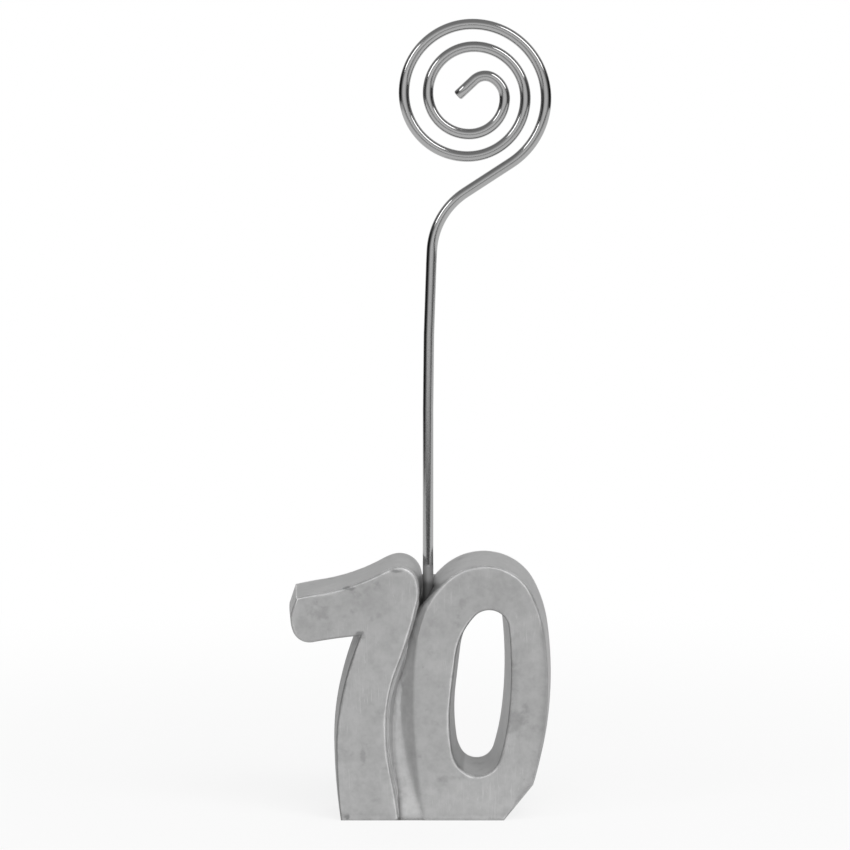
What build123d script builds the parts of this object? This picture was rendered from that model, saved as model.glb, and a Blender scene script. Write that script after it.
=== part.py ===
import os
from math import cos, radians, sin, tan

from build123d import *

os.makedirs("parts", exist_ok=True)

# the two cast figures, sizes in mm, outlines at the flat back where they are widest
figure_depth = 10.0
seven_draft_angle = 3.2
zero_draft_angle = 4.6
edge_bevel = 0.25
trim_depth = 1.0

# figure 7, seen from the front, x to the right and z up from the table
seven_top_heading = 13.7
seven_top = [
    (-19.5, 34.5),
    (-15.7, 35.25),
    (-6.25, 38.45),
    (-4.8, 39.1),
    (-0.4, 36.8),
    (-0.3, 33.5),
    (-3.4, 23.2),
    (-5.0, 15.9),
    (-4.25, 6.65),
    (-3.15, -trim_depth),
]
seven_left_heading = 97.4
seven_left = [(-12.9, -trim_depth), (-13.7, 10.8), (-12.9, 18.9), (-10.3, 27.6)]
seven_bar_heading = 186.0
seven_bar = [(-10.3, 27.6), (-15.4, 26.9), (-16.5, 26.7), (-20.1, 28.7), (-20.45, 31.6)]

# figure 0, its outline and its open counter
zero_heading = 100.0
zero_ring = [
    (-0.6, -trim_depth),
    (-2.4, 14.5),
    (-2.1, 26.7),
    (0.2, 33.8),
    (3.15, 37.4),
    (12.2, 39.1),
    (16.8, 35.1),
    (18.85, 28.8),
    (19.05, 14.0),
    (17.2, 5.1),
]
zero_facet_end = (12.3, -trim_depth)
counter_heading = -61.8
counter = [
    (5.7, 9.1),
    (10.7, 9.6),
    (11.95, 15.65),
    (12.0, 29.35),
    (8.2, 30.6),
    (5.6, 24.95),
    (4.9, 19.0),
    (5.05, 11.0),
    (5.7, 9.1),
]

# bridge between the figures, set back from their fronts, hollowed round the wire and ramping out to the foot
bridge_left = -6.0
bridge_right = 3.0
bridge_back_height = 36.0
hollow_height = 31.8
hollow_setback = 6.2
bridge_setback = 2.0
bridge_ramp_height = 18.0
bridge_foot_setback = 0.3

# banks that ease the bridge up to both figures, cut away on a slope so that lips stand before the hollow
seven_bank_angle = 30.0
zero_bank_angle = 47.0
bank_right = 3.1
lip_front_height = 36.5
lip_back_height = 29.5

# solder between the two castings
solder_gap = 0.2

# wire and its glued foot
wire_diameter = 1.6
stem_x = 0.66
socket_depth = 9.8
socket_relief = 5.2
glue_gap = 0.15
glue_floor = 0.4
glue_rise = 0.4
end_bevel = 0.2

# slight bow of the stem, then the shoulder and the slant up to the coil
bow_height = 62.0
bow_radius = 500.0
bow_angle = 2.5
lead_length = 1.77
shoulder_radius = 11.0
slant_angle = 33.0
slant_length = 8.1

# coil, tighter by a step each quarter turn and drifting a little as it winds in
coil_radius = 10.97
coil_step = 0.83
coil_drift = 0.25
coil_quarters = 8
hook_radius = 3.5
hook_turn = 60.0
tip_radius = 2.35
tip_turn = 73.0
tip_length = 3.45

back_plane = Plane(origin=(0, figure_depth / 2, 0), x_dir=(1, 0, 0), z_dir=(0, -1, 0))
wire_plane = Plane(origin=(0, 0, 0), x_dir=(1, 0, 0), z_dir=(0, -1, 0))
wire_radius = wire_diameter / 2
socket_radius = wire_radius + glue_gap
socket_floor = hollow_height - socket_depth
foot_height = socket_floor + glue_floor
hollow_y = hollow_setback - figure_depth / 2
bridge_front_y = bridge_setback - figure_depth / 2
bridge_foot_y = bridge_foot_setback - figure_depth / 2
bridge_plane = Plane(origin=(0, bridge_front_y, 0), x_dir=(1, 0, 0), z_dir=(0, -1, 0))
bank_rise = bridge_setback - edge_bevel


# arcs through the points, each running on smoothly from the one before
def smooth_arcs(points, heading):
    tangent = (cos(radians(heading)), sin(radians(heading)))
    for start, end in zip(points, points[1:]):
        arc = TangentArc(start, end, tangent=tangent)
        tangent = arc % 1


# edges round a figure's front face
def front_edges(figure):
    return figure.faces().sort_by(Axis.Y)[0].edges()


# outline of the 7
def seven_outline():
    smooth_arcs(seven_top, seven_top_heading)
    Line(seven_top[-1], seven_left[0])
    smooth_arcs(seven_left, seven_left_heading)
    smooth_arcs(seven_bar, seven_bar_heading)
    Line(seven_bar[-1], seven_top[0])


# left side of the 0, closed inside it
def zero_left_outline():
    smooth_arcs(zero_ring[:5], zero_heading)
    Polyline(zero_ring[4], (zero_ring[4][0], zero_ring[0][1]), zero_ring[0])


# bank up to a figure's front edge
def bank_along(outline, draft, angle):
    with BuildPart() as bank:
        with BuildSketch(bridge_plane):
            with BuildLine():
                outline()
            make_face()
            offset(amount=bank_rise * tan(radians(angle)) - figure_depth * tan(radians(draft)))
        extrude(amount=bank_rise, taper=angle)
        with BuildSketch(Plane.YZ.offset(bridge_left)):
            with BuildLine():
                Polyline(
                    (bridge_front_y, 0),
                    (-figure_depth / 2, 0),
                    (-figure_depth / 2, lip_front_height),
                    (bridge_front_y, lip_back_height),
                    close=True,
                )
            make_face()
        extrude(amount=bank_right - bridge_left, mode=Mode.INTERSECT)
    return bank.part


# figure 7 as cast
with BuildPart() as numeral_seven:
    with BuildSketch(back_plane):
        with BuildLine():
            seven_outline()
        make_face()
    extrude(amount=figure_depth, taper=seven_draft_angle)
    split(bisect_by=Plane.XY, keep=Keep.TOP)
    chamfer(front_edges(numeral_seven), edge_bevel)

# figure 7 moved over by the solder, to cut the seat that it is joined against
seven_seat = numeral_seven.part.moved(Location((solder_gap, 0, 0)))

# figure 0 as cast, with the bridge and banks that run up against the 7
with BuildPart() as zero_blank:
    with BuildSketch(back_plane):
        with BuildLine():
            smooth_arcs(zero_ring, zero_heading)
            Polyline(zero_ring[-1], zero_facet_end, zero_ring[0])
        make_face()
        with BuildLine():
            smooth_arcs(counter, counter_heading)
        make_face(mode=Mode.SUBTRACT)
    extrude(amount=figure_depth, taper=zero_draft_angle)
    split(bisect_by=Plane.XY, keep=Keep.TOP)
    chamfer(front_edges(zero_blank), edge_bevel)
    with BuildSketch(Plane.YZ.offset(bridge_left)):
        with BuildLine():
            Polyline(
                (bridge_foot_y, 0),
                (figure_depth / 2, 0),
                (figure_depth / 2, bridge_back_height),
                (hollow_y, hollow_height),
                (bridge_front_y, hollow_height),
                (bridge_front_y, bridge_ramp_height),
            )
            TangentArc(
                (bridge_front_y, bridge_ramp_height),
                (bridge_foot_y, 0),
                tangent=(0, -1),
            )
        make_face()
    extrude(amount=bridge_right - bridge_left)
    add(bank_along(zero_left_outline, zero_draft_angle, zero_bank_angle))
    add(bank_along(seven_outline, seven_draft_angle, seven_bank_angle))
    with BuildSketch(Plane.XY.offset(socket_floor)):
        with Locations((stem_x, 0)):
            Circle(socket_radius)
    extrude(amount=socket_depth + socket_relief, mode=Mode.SUBTRACT)

with BuildPart() as numeral_zero:
    add(zero_blank.part)
    add(seven_seat, mode=Mode.SUBTRACT)

# solder that fills the seat
with BuildPart() as seam_solder:
    add(zero_blank.part)
    add(seven_seat, mode=Mode.INTERSECT)
    add(numeral_seven.part, mode=Mode.SUBTRACT)

# cup of adhesive round the foot of the wire, risen a little at the mouth
with BuildPart() as socket_adhesive:
    with BuildSketch(wire_plane):
        with BuildLine():
            Polyline(
                (stem_x, socket_floor),
                (stem_x + socket_radius, socket_floor),
                (stem_x + socket_radius, hollow_height),
                (stem_x + wire_radius, hollow_height + glue_rise),
                (stem_x + wire_radius, foot_height),
                (stem_x, foot_height),
                close=True,
            )
        make_face()
    revolve(axis=Axis((stem_x, 0, 0), (0, 0, 1)))

with BuildPart() as card_wire:
    with BuildLine(wire_plane) as wire_path:
        run = Line((stem_x, foot_height), (stem_x, bow_height))
        turn = JernArc(run @ 1, run % 1, bow_radius, -bow_angle)
        run = Line(turn @ 1, turn @ 1 + (turn % 1) * lead_length)
        turn = JernArc(run @ 1, run % 1, shoulder_radius, slant_angle + bow_angle - 90)
        run = Line(turn @ 1, turn @ 1 + (turn % 1) * slant_length)
        turn = JernArc(run @ 1, run % 1, coil_radius + coil_step / 2, 90 - slant_angle)
        for quarter in range(coil_quarters):
            shift = coil_drift / 2 if quarter % 4 > 1 else 0
            turn = JernArc(turn @ 1, turn % 1, coil_radius - quarter * coil_step + shift, 90)
        turn = JernArc(turn @ 1, turn % 1, hook_radius, hook_turn)
        turn = JernArc(turn @ 1, turn % 1, tip_radius, tip_turn)
        Line(turn @ 1, turn @ 1 + (turn % 1) * tip_length)
    with BuildSketch(Plane.XY.offset(foot_height)):
        with Locations((stem_x, 0)):
            Circle(wire_radius)
    sweep()
    chamfer(card_wire.faces().filter_by(GeomType.PLANE).edges(), end_bevel)

# least clear space between stretches of the wire that don't follow on from each other
runs = wire_path.wire().order_edges()
gaps = []
for first, run in enumerate(runs):
    between = 0
    for later in range(first + 2, len(runs)):
        between = between + runs[later - 1].length
        if between > 3 * wire_diameter:
            gaps.append(run.distance_to(runs[later]) - wire_diameter)
print("least gap of the wire to itself", round(min(gaps), 2), "mm")

for name, piece in (
    ("numeral_seven", numeral_seven),
    ("numeral_zero", numeral_zero),
    ("seam_solder", seam_solder),
    ("card_wire", card_wire),
    ("socket_adhesive", socket_adhesive),
):
    piece.part.label = name
    export_step(piece.part, f"parts/{name}.step")
    print(name, len(piece.part.solids()), piece.part.is_valid, round(piece.part.volume, 1))
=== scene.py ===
import math

import bpy
from mathutils import Matrix, Vector


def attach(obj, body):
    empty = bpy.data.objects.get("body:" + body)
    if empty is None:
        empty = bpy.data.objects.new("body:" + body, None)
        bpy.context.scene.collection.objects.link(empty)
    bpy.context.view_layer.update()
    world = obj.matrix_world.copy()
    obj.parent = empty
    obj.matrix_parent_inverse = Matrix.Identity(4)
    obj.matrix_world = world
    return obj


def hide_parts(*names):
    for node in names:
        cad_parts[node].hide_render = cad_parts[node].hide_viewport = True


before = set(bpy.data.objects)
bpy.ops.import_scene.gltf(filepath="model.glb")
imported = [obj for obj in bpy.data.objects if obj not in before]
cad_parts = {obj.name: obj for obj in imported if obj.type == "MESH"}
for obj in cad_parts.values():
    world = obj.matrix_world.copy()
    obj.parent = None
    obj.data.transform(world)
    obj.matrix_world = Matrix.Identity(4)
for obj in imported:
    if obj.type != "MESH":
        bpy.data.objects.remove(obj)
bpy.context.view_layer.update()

MM = 0.001
scene = bpy.context.scene
scene.view_settings.view_transform = "Standard"


# a node with its settings, and its inputs set or linked by name or number
def node(tree, kind, inputs=None, **settings):
    made = tree.nodes.new(kind)
    for name, value in settings.items():
        setattr(made, name, value)
    for key, value in (inputs or {}).items():
        if isinstance(value, bpy.types.NodeSocket):
            tree.links.new(value, made.inputs[key])
        else:
            made.inputs[key].default_value = value
    return made


# a material with an empty tree
def blank_material(name):
    material = bpy.data.materials.new(name)
    material.use_nodes = True
    material.node_tree.nodes.clear()
    return material, material.node_tree


# the x, y and z of a vector
def parts_of(tree, vector):
    split = node(tree, "ShaderNodeSeparateXYZ", {0: vector})
    return tuple(split.outputs[axis] for axis in "XYZ")


# noise of a kind, given as its grain size in mm, detail and roughness, as a value from about 0 to 1
def noise(tree, where, kind):
    grain, detail, roughness = kind
    return node(
        tree,
        "ShaderNodeTexNoise",
        {"Vector": where, "Scale": 1 / (grain * MM), "Detail": detail, "Roughness": roughness},
    ).outputs["Fac"]


# a value moved smoothly from one range to another
def fit(tree, value, span, to=(0.0, 1.0)):
    return node(
        tree,
        "ShaderNodeMapRange",
        {"Value": value, 1: span[0], 2: span[1], 3: to[0], 4: to[1]},
        interpolation_type="SMOOTHSTEP",
    ).outputs["Result"]


# the same for a place, with its range in mm
def fit_mm(tree, place, span, to=(0.0, 1.0)):
    return fit(tree, place, (span[0] * MM, span[1] * MM), to)


def math_node(tree, operation, first, second=0.0):
    return node(tree, "ShaderNodeMath", {0: first, 1: second}, operation=operation).outputs[0]


# the product of values
def times(tree, first, *others):
    for other in others:
        first = math_node(tree, "MULTIPLY", first, other)
    return first


# the greatest of values
def most(tree, first, *others):
    for other in others:
        first = math_node(tree, "MAXIMUM", first, other)
    return first


# what a value leaves of one
def rest_of(tree, value):
    return math_node(tree, "SUBTRACT", 1.0, value)


# a zone with soft bounds in mm, given as pairs of a place and a range
def zone(tree, *bounds):
    return times(tree, *(fit_mm(tree, place, span) for place, span in bounds))


# one value mixed towards another by a factor
def blend(tree, factor, first, second):
    return node(tree, "ShaderNodeMix", {0: factor, 2: first, 3: second}, data_type="FLOAT").outputs[0]


def vector_node(tree, operation, first, second=(0.0, 0.0, 0.0)):
    return node(tree, "ShaderNodeVectorMath", {0: first, 1: second}, operation=operation)


# a ragged mark at a place in mm, fading out at its half sizes
blot_fade = (1.2, 0.4)


def blot(tree, where, centre, half, ragged):
    offset = vector_node(tree, "SUBTRACT", where, Vector(centre) * MM).outputs[0]
    shape = vector_node(tree, "DIVIDE", offset, Vector(half) * MM).outputs[0]
    far = vector_node(tree, "LENGTH", shape).outputs["Value"]
    return fit(tree, math_node(tree, "ADD", far, ragged), blot_fade)


def grey(level):
    return (level, level, level, 1.0)


# a grey colour that follows a value
def grey_of(tree, tone):
    return node(tree, "ShaderNodeCombineColor", {0: tone, 1: tone, 2: tone}).outputs[0]


# camera at the photo's angle, its image taken as square
lens = 146.67
sensor_width = 36.0
eye = Vector((0.2, -516.66, 118.32)) * MM
aim = Vector((0.2, 0.0, 59.45)) * MM
camera_data = bpy.data.cameras.new("camera")
camera_data.sensor_width = sensor_width
camera_data.lens = lens
camera = bpy.data.objects.new("camera", camera_data)
scene.collection.objects.link(camera)
camera.location = eye
camera.rotation_euler = (aim - eye).to_track_quat("-Z", "Y").to_euler()
scene.camera = camera

# levels of light in the room, and the parts of a direction over which each fades in
white = 1.0
front_level = 1.0
side_level = 0.008
side_reach = (0.3, 1.0)
overhead_level = 0.36
overhead_rise = (0.1, 0.8)
below_level = 0.68
below_fall = (-0.12, -0.2)
under_eye_level = 0.024
under_eye_width = (0.75, 0.5)
under_eye_bottom = (-0.195, -0.175)
under_eye_top = (-0.11, -0.125)
ahead_reach = (0.0, -0.2)

# room: white to the camera, else light in front and dark at the sides and just under the eye
world = bpy.data.worlds.new("room")
scene.world = world
world.use_nodes = True
tree = world.node_tree
tree.nodes.clear()
look = node(tree, "ShaderNodeTexCoord").outputs["Generated"]
look_x, look_y, look_z = parts_of(tree, look)
sideways = math_node(tree, "ABSOLUTE", look_x)
under_eye = times(
    tree,
    fit(tree, sideways, under_eye_width),
    fit(tree, look_z, under_eye_bottom),
    fit(tree, look_z, under_eye_top),
    fit(tree, look_y, ahead_reach),
)
level = blend(tree, fit(tree, sideways, side_reach), front_level, side_level)
level = blend(tree, fit(tree, look_z, overhead_rise), level, overhead_level)
level = blend(tree, fit(tree, look_z, below_fall), level, below_level)
level = blend(tree, under_eye, level, under_eye_level)
path = node(tree, "ShaderNodeLightPath")
seen = most(tree, path.outputs["Is Camera Ray"], path.outputs["Is Transmission Ray"])
level = blend(tree, seen, level, white)
glow = node(tree, "ShaderNodeBackground", {"Color": grey(white), "Strength": level})
node(tree, "ShaderNodeOutputWorld", {"Surface": glow.outputs[0]})

# pale floor that runs up into a backdrop
floor_left = -380 * MM
floor_right = 750 * MM
floor_front = -200 * MM
floor_back = 600 * MM
sweep_radius = 150 * MM
sweep_top = 700 * MM
sweep_steps = 12
sweep_start = floor_back - sweep_radius
profile = [(floor_front, 0.0), (sweep_start, 0.0)]
for step in range(1, sweep_steps + 1):
    turn = math.radians(90 * step / sweep_steps)
    profile.append((sweep_start + sweep_radius * math.sin(turn), sweep_radius * (1 - math.cos(turn))))
profile.append((floor_back, sweep_top))
floor_points = [(x, y, z) for y, z in profile for x in (floor_left, floor_right)]
floor_quads = [(2 * i, 2 * i + 1, 2 * i + 3, 2 * i + 2) for i in range(len(profile) - 1)]
floor_mesh = bpy.data.meshes.new("floor")
floor_mesh.from_pydata(floor_points, [], floor_quads)
floor_mesh.shade_smooth()
floor = bpy.data.objects.new("floor", floor_mesh)
scene.collection.objects.link(floor)

# paper of the floor: whitest to the eye and in reflections, less near the object, where its shadow shows
paper_tone = 0.85
white_reach = (40, 200)
white_seen = (0.8, 1.0)
white_sent_on = 0.6
floor_material, tree = blank_material("floor_paper")
path = node(tree, "ShaderNodeLightPath")
where = node(tree, "ShaderNodeTexCoord").outputs["Object"]
from_object = vector_node(tree, "LENGTH", where).outputs["Value"]
seen = most(tree, *(path.outputs[f"Is {kind} Ray"] for kind in ("Camera", "Transmission", "Glossy")))
share = most(tree, times(tree, seen, fit_mm(tree, from_object, white_reach, white_seen)), white_sent_on)
paper = node(tree, "ShaderNodeBsdfDiffuse", {"Color": grey(paper_tone)})
plain = node(tree, "ShaderNodeEmission", {"Color": grey(white), "Strength": 1.0})
both = node(tree, "ShaderNodeMixShader", {0: share, 1: paper.outputs[0], 2: plain.outputs[0]})
node(tree, "ShaderNodeOutputMaterial", {"Surface": both.outputs[0]})
floor_mesh.materials.append(floor_material)

# a soft box up at each side, a little in front, long round the coil and narrow across it
boxes = [("box_left", (-440, -300, 371), 211), ("box_right", (381, -300, 475), 430)]
box_width = 170 * MM
box_glow = 13.0
coil_middle = Vector((7, 0, 108)) * MM
for name, place, long_side in boxes:
    lamp_data = bpy.data.lights.new(name, "AREA")
    lamp_data.shape = "RECTANGLE"
    lamp_data.size = long_side * MM
    lamp_data.size_y = box_width
    lamp_data.energy = box_glow * lamp_data.size * lamp_data.size_y
    lamp = bpy.data.objects.new(name, lamp_data)
    lamp.location = Vector(place) * MM
    from_coil = (lamp.location - coil_middle).normalized()
    along = Vector((0, -1, 0)).cross(from_coil).normalized()
    lamp.rotation_euler = Matrix((along, from_coil.cross(along), from_coil)).transposed().to_euler()
    scene.collection.objects.link(lamp)

# broad soft light from above the eye, kept out of reflections
fill_size = 600 * MM
fill_energy = 2.3
fill_place = Vector((100, -400, 620)) * MM
fill_target = Vector((0, 0, 40)) * MM
fill_data = bpy.data.lights.new("fill", "AREA")
fill_data.size = fill_size
fill_data.energy = fill_energy
fill = bpy.data.objects.new("fill", fill_data)
fill.location = fill_place
fill.rotation_euler = (fill_target - fill_place).to_track_quat("-Z", "Y").to_euler()
fill.visible_glossy = False
scene.collection.objects.link(fill)

# kinds of noise in the casting, and the part of a noise's range that most of it lies in
cloud_noise = (7.0, 4.0, 0.55)
uneven_noise = (4.0, 2.0, 0.55)
patch_noise = (2.3, 3.0, 0.6)
mottle_noise = (1.4, 4.0, 0.6)
scratch_noise = (0.5, 1.0, 0.55)
fine_noise = (0.16, 2.0, 0.55)
common = (0.3, 0.7)
usual = (0.25, 0.75)
nearly_all = (0.2, 0.8)

# flaws of the casting: where a pit, a scratch, a smudge or wear with its painted highlight fades in on its
# noises
pit_spacing = 2.6
pit_size = (0.1, 0.02)
pit_cells = (0.7, 0.72)
scratch_lean = math.radians(28)
scratch_stretch = (1.0, 0.2, 0.05)
scratch_middle = 0.5
scratch_width = (0.016, 0.0)
scratch_clouds = (0.48, 0.6)
smudge_patches = (0.55, 0.75)
smudge_clouds = (0.6, 0.4)
wear_and_highlight_mottle = (0.2, 0.6)
wear_and_highlight_shares = (0.3, 1.0)
ragged_reach = (-0.5, 0.5)

# tones of the casting, and what they are multiplied by in places, among them painted highlights, painted
# shade and painted light
cloud_tones = (0.37, 0.41)
mottle_tones = (-0.035, 0.035)
smudge_tone = 0.3
scratch_tone = 0.46
pit_tone = 0.34
# edge wear with painted highlight
worn_highlight_tone = 0.88
# painted highlight on the seven's top-left edge
painted_edge_highlight_tone = 0.95
# painted highlight in the groove
painted_groove_highlight_tone = 0.56
mark_tone = 0.2
# painted shade in the deepest hollows, such as the notch
painted_hollow_shade_tones = (0.2, 0.45)
# painted shade in nooks, and the least of it that the groove gets
painted_nook_shade_gain = (0.75, 1.0)
groove_painted_nook_shade_gain = 0.95
# painted light on the front-facing groove floor
painted_groove_light_gain = (1.0, 1.28)
# painted bounce light, lighter towards the foot
painted_bounce_gain = (1.0, 1.08)
# painted shade on walls facing away from the light
painted_side_shade_gain = (1.0, 0.6)

# finish of the casting
satin_roughness = (0.38, 0.48)
worn_roughness = 0.28
metal_share = 0.55
glint_tint = 0.75
relief_height = 0.06 * MM
relief_strength = 0.8
mottle_relief = 0.7
grain_relief = 0.12
pit_relief = -0.7
scratch_relief = -0.15

# radii that edges and creases are eased to, and the rays spent on them and on the sky
ray_samples = 8
edge_radius = (0.5 * MM, 1.1 * MM)
soft_radius = 2.4 * MM
groove_foot_radius = 1.8 * MM
lip_radius = 0.7 * MM
seven_bank_radius = 0.4 * MM

# bounds of zones in mm, each fading in from its first number to its second
groove_right = (1.2, 0.8)
groove_top = (32.5, 30.5)
groove_back = (-0.5, -1.0)
groove_front = (-4.6, -3.9)
groove_foot = (7.0, 3.0)
groove_floor_front = (-4.85, -4.4)
lip_left = (-2.6, -2.0)
lip_top = (29, 26)
seam_left = (-7, -6)
seam_right = (1.5, 0.5)
seam_front = (3.5, 4.2)
counter_left = (3.2, 3.6)
counter_middle = (9, 8)
ledge_left = (4.5, 5.5)
ledge_right = (12.5, 11.5)
ledge_top = (12, 10.5)
rounded_left = (13, 14)
rounded_top = (31, 28)
flank_left = (13.5, 15)
past_bar_end = (-18, -16)
# the height over which painted bounce light grows towards the foot
painted_bounce_reach = (14, 1)
near_table = (2.0, 0.3)

# parts of a normal over which a way of facing fades in, and how much painted shade two of these get
faces_left = (-0.15, -0.6)
faces_front = (-0.85, -0.99)
not_up = (0.75, 0.5)
not_down = (-0.35, -0.1)
seven_bank_faces = (0.1, 0.4)
wall_faces = (0.4, 0.8)
flank_faces = (0.3, 0.9)
edge_bend = (0.99, 0.9)
ledge_painted_shade = (0.0, 0.4)
flank_painted_shade = (0.0, 0.22)

# open sky over which painted shade in hollows and nooks, and edge wear with its painted highlight, fade
# in, as shares of the sky within a short reach
sky_reach = 4 * MM
painted_hollow_shade_sky = (0.28, 0.1)
painted_nook_shade_sky = (0.25, 0.8)
wear_and_highlight_sky = (0.4, 0.7)
near_table_sky = (0.0, 0.8)

# marks on the figures, by place and half sizes in mm: a painted highlight on an edge, a painted highlight
# in the groove, and dark ones with strengths
painted_edge_highlight = ((-17.8, -4.9, 33.6), (3.6, 1.2, 1.6))
painted_groove_highlight = ((-3.75, -3.1, 19.0), (0.45, 1.2, 3.6))
marks = [
    ((-11.4, -4.9, 35.4), (1.3, 0.5, 0.3), 0.7),
    ((-4.0, -4.9, 38.0), (1.2, 0.5, 0.3), 0.7),
    ((-9.5, -4.7, 28.4), (0.7, 1.6, 0.7), 0.85),
    ((-15.5, -5.0, 31.6), (1.9, 1.0, 1.2), 0.3),
    ((-9.1, -5.0, 10.0), (0.5, 1.0, 1.6), 0.35),
    ((14.0, -5.0, 15.0), (1.8, 1.0, 1.9), 0.3),
    ((4.0, -5.0, 6.5), (1.5, 1.0, 0.6), 0.25),
    ((-3.6, -4.9, 0.2), (0.7, 0.8, 0.6), 0.7),
    ((-11.5, -4.9, 0.6), (0.5, 0.6, 0.5), 0.8),
]


# radius of the 0's edges where its groove is eased and its right side rounded, with these zones
def zero_rounding(tree, across, deep, height, flat, radius):
    groove = zone(tree, (across, groove_right), (height, groove_top), (deep, groove_back))
    seven_bank = fit(tree, parts_of(tree, flat)[0], seven_bank_faces)
    lip = zone(tree, (across, lip_left), (height, lip_top))
    ease = most(
        tree,
        fit_mm(tree, deep, groove_front, (0.0, soft_radius)),
        times(tree, lip, lip_radius),
        fit_mm(tree, height, groove_foot, (0.0, groove_foot_radius)),
    )
    ease = blend(tree, seven_bank, ease, seven_bank_radius)
    rounded = zone(tree, (across, rounded_left), (height, rounded_top))
    radius = blend(tree, groove, radius, ease)
    radius = blend(tree, rounded, radius, soft_radius)
    return radius, groove, seven_bank, rounded


# where the 0 gets painted shade: edges that face left, the counter's left wall and ledge, and the right
# flank
def zero_painted_side_shade(tree, across, height, normal_x, normal_z, left_edge):
    counter = zone(tree, (across, counter_left), (across, counter_middle))
    ledge = zone(tree, (across, ledge_left), (across, ledge_right), (height, ledge_top))
    flank = zone(tree, (across, flank_left))
    return most(
        tree,
        left_edge,
        times(tree, counter, fit(tree, normal_x, wall_faces)),
        times(tree, ledge, fit(tree, normal_z, wall_faces, ledge_painted_shade)),
        times(tree, flank, fit(tree, normal_x, flank_faces, flank_painted_shade)),
    )


# small pits in some cells of a pattern, and fine scratches that lean across the fronts
def casting_flaws(tree, where, cloud):
    cells = node(tree, "ShaderNodeTexVoronoi", {"Vector": where, "Scale": 1 / (pit_spacing * MM)})
    chosen = node(tree, "ShaderNodeSeparateColor", {0: cells.outputs["Color"]}).outputs[0]
    pit = times(tree, fit(tree, cells.outputs["Distance"], pit_size), fit(tree, chosen, pit_cells))
    leaning = node(
        tree,
        "ShaderNodeMapping",
        {"Vector": where, "Rotation": (0.0, scratch_lean, 0.0), "Scale": scratch_stretch},
    ).outputs[0]
    off_middle = math_node(tree, "SUBTRACT", noise(tree, leaning, scratch_noise), scratch_middle)
    off_line = math_node(tree, "ABSOLUTE", off_middle)
    scratch = times(tree, fit(tree, off_line, scratch_width), fit(tree, cloud, scratch_clouds))
    return pit, scratch


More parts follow.
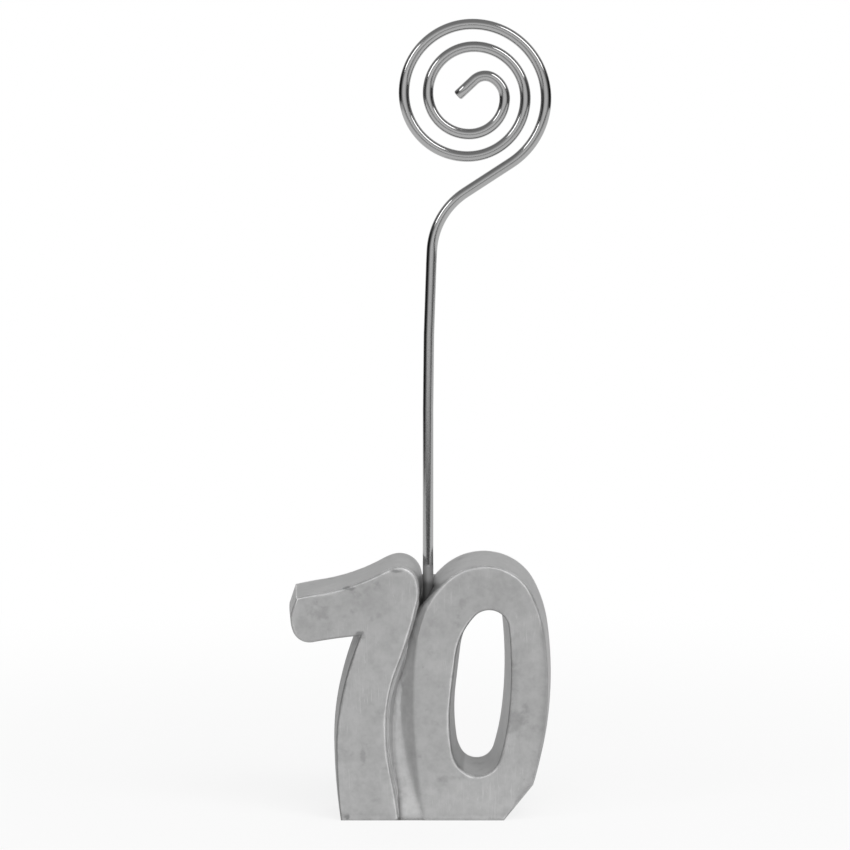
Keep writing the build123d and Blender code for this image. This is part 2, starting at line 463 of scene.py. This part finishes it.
# satin silver casting: uneven tone, pits and scratches, worn edges with painted highlights, painted shade
# in hollows, in nooks and on walls facing away from the light, painted light on the groove floor and near
# the foot
def casting_material(name, is_zero):
    material, tree = blank_material(name)
    where = node(tree, "ShaderNodeTexCoord").outputs["Object"]
    flat = node(tree, "ShaderNodeNewGeometry").outputs["Normal"]
    across, deep, height = parts_of(tree, where)
    cloud = noise(tree, where, cloud_noise)
    mottle = noise(tree, where, mottle_noise)
    ragged = fit(tree, mottle, nearly_all, ragged_reach)

    # edges rounded by use, which wear and its painted highlight spare in the groove and at the right side
    # of the 0
    radius = fit(tree, noise(tree, where, uneven_noise), common, edge_radius)
    bare = 1.0
    if is_zero:
        radius, groove, seven_bank, rounded = zero_rounding(tree, across, deep, height, flat, radius)
        bare = rest_of(tree, most(tree, groove, rounded))
    eased = node(tree, "ShaderNodeBevel", {"Radius": radius}, samples=ray_samples).outputs[0]
    normal_x, normal_y, normal_z = parts_of(tree, eased)
    bend = vector_node(tree, "DOT_PRODUCT", eased, flat).outputs["Value"]
    edge = times(tree, fit(tree, bend, edge_bend), bare)
    leftward = times(tree, fit(tree, normal_x, faces_left), fit(tree, normal_z, not_up))
    around = node(tree, "ShaderNodeAmbientOcclusion", {"Distance": sky_reach}, samples=ray_samples)
    sky = most(tree, around.outputs["AO"], fit_mm(tree, height, near_table, near_table_sky))
    back_seam = zone(tree, (across, seam_left), (across, seam_right), (deep, seam_front))
    # edge wear with a painted highlight, kept off edges that face left or down and out of hollows
    wear_and_highlight = times(
        tree,
        edge,
        fit(tree, sky, wear_and_highlight_sky),
        rest_of(tree, leftward),
        fit(tree, normal_z, not_down),
        rest_of(tree, back_seam),
        fit(tree, mottle, wear_and_highlight_mottle, wear_and_highlight_shares),
    )

    # tone of the bare metal and its flaws
    pit, scratch = casting_flaws(tree, where, cloud)
    patch = noise(tree, where, patch_noise)
    smudge = times(tree, fit(tree, patch, smudge_patches), fit(tree, cloud, smudge_clouds))
    clouded = fit(tree, cloud, common, cloud_tones)
    tone = math_node(tree, "ADD", clouded, fit(tree, mottle, usual, mottle_tones))
    tone = blend(tree, smudge, tone, smudge_tone)
    tone = blend(tree, scratch, tone, scratch_tone)
    tone = blend(tree, pit, tone, pit_tone)

    # painted shade and painted light, wear with painted highlights, and marks
    # painted shade: the tone is darkened where little open sky is seen, less so in the groove
    painted_nook_shade = fit(tree, sky, painted_nook_shade_sky, painted_nook_shade_gain)
    if is_zero:
        painted_nook_shade = most(tree, painted_nook_shade, times(tree, groove, groove_painted_nook_shade_gain))
        # painted light: the front-facing groove floor and the seven's bank are painted lighter
        painted_groove_light = times(tree, fit_mm(tree, deep, groove_floor_front), fit(tree, normal_y, faces_front))
        painted_groove_light = times(tree, groove, most(tree, painted_groove_light, seven_bank))
        tone = times(tree, tone, fit(tree, painted_groove_light, (0.0, 1.0), painted_groove_light_gain))
        painted_side_shade = zero_painted_side_shade(tree, across, height, normal_x, normal_z, times(tree, leftward, edge))
    else:
        painted_side_shade = times(tree, leftward, zone(tree, (across, past_bar_end)))
    # painted nook shade, and painted bounce light that makes the lower part lighter towards the foot
    tone = times(tree, tone, painted_nook_shade, fit_mm(tree, height, painted_bounce_reach, painted_bounce_gain))
    # worn edges lightened: partly wear, partly painted highlight
    tone = blend(tree, wear_and_highlight, tone, worn_highlight_tone)
    # painted shade: walls and edges facing away from the light are darkened
    tone = times(tree, tone, fit(tree, painted_side_shade, (0.0, 1.0), painted_side_shade_gain))
    # painted highlight along the seven bar's top-left edge
    tone = blend(tree, times(tree, edge, blot(tree, where, *painted_edge_highlight, ragged)), tone, painted_edge_highlight_tone)
    if is_zero:
        # painted highlight: a light streak in the groove standing in for a reflection
        tone = blend(tree, times(tree, groove, blot(tree, where, *painted_groove_highlight, ragged)), tone, painted_groove_highlight_tone)
    for centre, half, strength in marks:
        mark = blot(tree, where, centre, half, ragged)
        tone = blend(tree, times(tree, mark, strength), tone, mark_tone)
    # painted shade: the deepest hollows, such as the notch by the wire, are painted nearly black
    tone = blend(tree, fit(tree, sky, painted_hollow_shade_sky), tone, fit(tree, mottle, common, painted_hollow_shade_tones))

    # roughness and relief
    satin = blend(tree, wear_and_highlight, fit(tree, mottle, usual, satin_roughness), worn_roughness)
    grain = noise(tree, where, fine_noise)
    relief = times(tree, mottle, mottle_relief)
    for part, share in ((grain, grain_relief), (pit, pit_relief), (scratch, scratch_relief)):
        relief = math_node(tree, "ADD", relief, times(tree, part, share))
    bump = node(
        tree,
        "ShaderNodeBump",
        {"Strength": relief_strength, "Distance": relief_height, "Height": relief, "Normal": eased},
    )
    surface = node(
        tree,
        "ShaderNodeBsdfPrincipled",
        {
            "Base Color": grey_of(tree, tone),
            "Metallic": metal_share,
            "Roughness": satin,
            "Normal": bump.outputs[0],
            "Specular Tint": grey(glint_tint),
        },
    )
    node(tree, "ShaderNodeOutputMaterial", {"Surface": surface.outputs[0]})
    return material


# bright drawn wire, its foot coated dull, and painted shade where it sits in the notch, up to lengths from
# its end in mm
drawn_scale = (2600.0, 30.0, 1.0)
drawn_detail = 3.0
drawn_height = 0.002 * MM
drawn_strength = 0.2
bright_tones = (0.38, 0.42)
bright_roughness = (0.1, 0.14)
coat_top = (16.1, 15.4)
coat_tone = 0.29
coat_roughness = 0.45
coat_metal_share = 0.3
# painted shade on the wire inside the notch
painted_notch_shade_reach = (14.0, 12.8)
painted_notch_shade_tone = 0.13


def wire_material(name):
    material, tree = blank_material(name)
    where = node(tree, "ShaderNodeTexCoord").outputs["UV"]
    lines = node(tree, "ShaderNodeMapping", {"Vector": where, "Scale": drawn_scale}).outputs[0]
    drawn = node(
        tree,
        "ShaderNodeTexNoise",
        {"Vector": lines, "Scale": 1.0, "Detail": drawn_detail},
    ).outputs["Fac"]
    from_foot = parts_of(tree, where)[1]
    coat = fit_mm(tree, from_foot, coat_top)
    tone = blend(tree, coat, fit(tree, drawn, common, bright_tones), coat_tone)
    # painted shade: the wire is darkened where it sits deep in the notch
    tone = blend(tree, fit_mm(tree, from_foot, painted_notch_shade_reach), tone, painted_notch_shade_tone)
    polish = blend(tree, coat, fit(tree, drawn, common, bright_roughness), coat_roughness)
    bump = node(
        tree,
        "ShaderNodeBump",
        {"Strength": drawn_strength, "Distance": drawn_height, "Height": drawn},
    )
    surface = node(
        tree,
        "ShaderNodeBsdfPrincipled",
        {
            "Base Color": grey_of(tree, tone),
            "Metallic": blend(tree, coat, 1.0, coat_metal_share),
            "Roughness": polish,
            "Normal": bump.outputs[0],
        },
    )
    node(tree, "ShaderNodeOutputMaterial", {"Surface": surface.outputs[0]})
    return material


# set adhesive, hazy and a little yellow
haze_noise = (0.6, 3.0, 0.55)
haze_height = 0.03 * MM
haze_strength = 0.3
adhesive_dark = (0.22, 0.21, 0.19, 1.0)
adhesive_light = (0.32, 0.31, 0.28, 1.0)
adhesive_roughness = (0.12, 0.3)
adhesive_ior = 1.5
adhesive_clearness = 0.6


def adhesive_material(name):
    material, tree = blank_material(name)
    where = node(tree, "ShaderNodeTexCoord").outputs["Object"]
    haze = noise(tree, where, haze_noise)
    colour = node(tree, "ShaderNodeMix", {0: haze, 6: adhesive_dark, 7: adhesive_light}, data_type="RGBA")
    bump = node(
        tree,
        "ShaderNodeBump",
        {"Strength": haze_strength, "Distance": haze_height, "Height": haze},
    )
    surface = node(
        tree,
        "ShaderNodeBsdfPrincipled",
        {
            "Base Color": colour.outputs[2],
            "Roughness": fit(tree, haze, common, adhesive_roughness),
            "Normal": bump.outputs[0],
            "IOR": adhesive_ior,
            "Transmission Weight": adhesive_clearness,
        },
    )
    node(tree, "ShaderNodeOutputMaterial", {"Surface": surface.outputs[0]})
    return material


seven_casting = casting_material("satin_silver_seven", False)
zero_casting = casting_material("satin_silver_zero", True)
bright_wire = wire_material("bright_wire_metal")
adhesive = adhesive_material("set_adhesive")
for name, material in (
    ("numeral_seven", seven_casting),
    ("numeral_zero", zero_casting),
    ("seam_solder", zero_casting),
    ("socket_adhesive", adhesive),
):
    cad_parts[name].material_slots[0].material = material

# card wire, sizes in mm and degrees, its line in the middle plane of the figures
wire_radius = 0.8
end_bevel = 0.2
stem_x = 0.66
foot_height = 22.4
bow_height = 62.0
bow_radius = 500.0
bow_angle = 2.5
lead_length = 1.77
shoulder_radius = 11.0
slant_angle = 33.0
slant_length = 8.1
coil_radius = 10.97
coil_step = 0.83
coil_drift = 0.25
coil_quarters = 8
hook_radius = 3.5
hook_turn = 60.0
tip_radius = 2.35
tip_turn = 73.0
tip_length = 3.45

# straight runs as a length and no turn, arcs as a radius and a turn, each on from the last
runs = [
    (bow_height - foot_height, 0.0),
    (bow_radius, -bow_angle),
    (lead_length, 0.0),
    (shoulder_radius, slant_angle + bow_angle - 90),
    (slant_length, 0.0),
    (coil_radius + coil_step / 2, 90 - slant_angle),
]
for quarter in range(coil_quarters):
    shift = coil_drift / 2 if quarter % 4 > 1 else 0
    runs.append((coil_radius - quarter * coil_step + shift, 90.0))
runs += [(hook_radius, hook_turn), (tip_radius, tip_turn), (tip_length, 0.0)]


# a point further along a heading
def ahead(x, z, heading, distance):
    way = math.radians(heading)
    return x + distance * math.cos(way), z + distance * math.sin(way)


# points along the wire with their headings and the length so far
straight_step = 1.5
arc_step = 3.0
stations = [(stem_x, foot_height, 90.0, 0.0)]
for size, turn in runs:
    x, z, heading, length = stations[-1]
    if turn == 0:
        steps = max(2, round(size / straight_step))
        for step in range(1, steps + 1):
            gone = size * step / steps
            stations.append((*ahead(x, z, heading, gone), heading, length + gone))
    else:
        side = math.copysign(90, turn)
        centre = ahead(x, z, heading + side, size)
        steps = max(2, round(abs(turn) / arc_step))
        for step in range(1, steps + 1):
            now = heading + turn * step / steps
            gone = math.radians(abs(turn)) * size * step / steps
            stations.append((*ahead(*centre, now - side, size), now, length + gone))

# rings round that line, with its two ends bevelled as cut
x, z, heading, whole = stations[-1]
rings = [
    (stem_x, foot_height, 90.0, 0.0, wire_radius - end_bevel),
    (stem_x, foot_height + end_bevel, 90.0, end_bevel, wire_radius),
]
rings += [(*station, wire_radius) for station in stations[1:-1]]
rings += [
    (*ahead(x, z, heading, -end_bevel), heading, whole - end_bevel, wire_radius),
    (x, z, heading, whole, wire_radius - end_bevel),
]

# tube over the rings, closed at both ends
spokes = 32
points = []
for x, z, heading, _, radius in rings:
    for spoke in range(spokes):
        angle = 2 * math.pi * spoke / spokes
        ring_x, ring_z = ahead(x, z, heading + 90, radius * math.cos(angle))
        points.append((ring_x * MM, radius * math.sin(angle) * MM, ring_z * MM))
faces = []
for ring in range(len(rings) - 1):
    for spoke in range(spokes):
        here = ring * spokes + spoke
        beside = ring * spokes + (spoke + 1) % spokes
        faces.append((here, beside, beside + spokes, here + spokes))
faces.append(tuple(reversed(range(spokes))))
faces.append(tuple(range(len(points) - spokes, len(points))))
wire_mesh = bpy.data.meshes.new("card_wire_drawn")
wire_mesh.from_pydata(points, [], faces)
wire_mesh.update()
wire_mesh.shade_smooth()
for face in wire_mesh.polygons[-2:]:
    face.use_smooth = False

# map round and along the wire, in its real sizes
layer = wire_mesh.uv_layers.new(name="along")
for face in wire_mesh.polygons[:-2]:
    for corner in face.loop_indices:
        ring, spoke = divmod(wire_mesh.loops[corner].vertex_index, spokes)
        if spoke == 0 and face.index % spokes == spokes - 1:
            spoke = spokes
        layer.data[corner].uv = (2 * math.pi * wire_radius * spoke / spokes * MM, rings[ring][3] * MM)
wire_mesh.materials.append(bright_wire)
wire = bpy.data.objects.new("card_wire_drawn", wire_mesh)
scene.collection.objects.link(wire)
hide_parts("card_wire")
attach(wire, "root")
